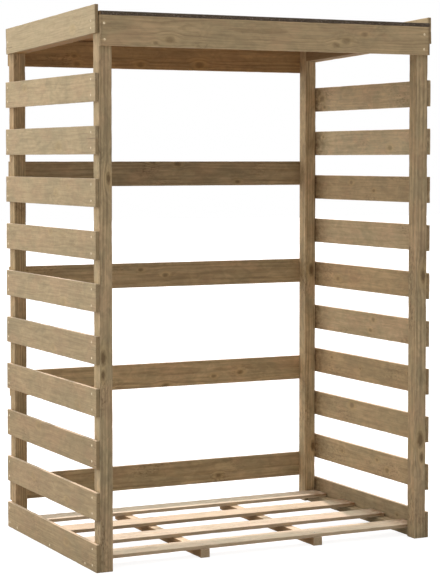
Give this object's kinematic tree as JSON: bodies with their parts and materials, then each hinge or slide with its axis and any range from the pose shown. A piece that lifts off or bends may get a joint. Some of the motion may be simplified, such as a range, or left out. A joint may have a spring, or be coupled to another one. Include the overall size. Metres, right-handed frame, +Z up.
{
  "type": "log store",
  "caption": "Open-fronted wooden store for stacked firewood, with slatted side walls, spaced back rails, a slatted floor and a low felted roof falling to the rear.",
  "frame": {"origin": "on the ground at the middle of the plan", "axes": "+Z up, -Y towards the open front, +X to the right seen from the front"},
  "size_m": [1.246, 0.856, 1.7991],
  "materials": {
    "treated_timber": "sawn pressure-treated softwood, matt",
    "floor_timber": "paler planed softwood, matt",
    "roof_sheet": "unfinished sheathing board, matt",
    "felt": "mineral roofing felt, rough"
  },
  "bodies": {
    "root": {"back_rail_1": "treated_timber", "back_rail_2": "treated_timber", "back_rail_3": "treated_timber", "back_rail_4": "treated_timber", "fascia_board": "treated_timber", "floor_slat_1": "floor_timber", "floor_slat_2": "floor_timber", "floor_slat_3": "floor_timber", "floor_slat_4": "floor_timber", "front_left_post": "treated_timber", "front_right_post": "treated_timber", "left_bargeboard": "treated_timber", "left_inner_bearer": "treated_timber", "left_outer_bearer": "treated_timber", "left_rafter": "treated_timber", "left_slat_01": "treated_timber", "left_slat_02": "treated_timber", "left_slat_03": "treated_timber", "left_slat_04": "treated_timber", "left_slat_05": "treated_timber", "left_slat_06": "treated_timber", "left_slat_07": "treated_timber", "left_slat_08": "treated_timber", "left_slat_09": "treated_timber", "left_slat_10": "treated_timber", "rear_left_post": "treated_timber", "rear_right_post": "treated_timber", "right_bargeboard": "treated_timber", "right_inner_bearer": "treated_timber", "right_outer_bearer": "treated_timber", "right_rafter": "treated_timber", "right_slat_01": "treated_timber", "right_slat_02": "treated_timber", "right_slat_03": "treated_timber", "right_slat_04": "treated_timber", "right_slat_05": "treated_timber", "right_slat_06": "treated_timber", "right_slat_07": "treated_timber", "right_slat_08": "treated_timber", "right_slat_09": "treated_timber", "right_slat_10": "treated_timber", "roof_board": "roof_sheet", "roof_felt": "felt", "top_back_rail": "treated_timber"}
  },
  "joints": []
}
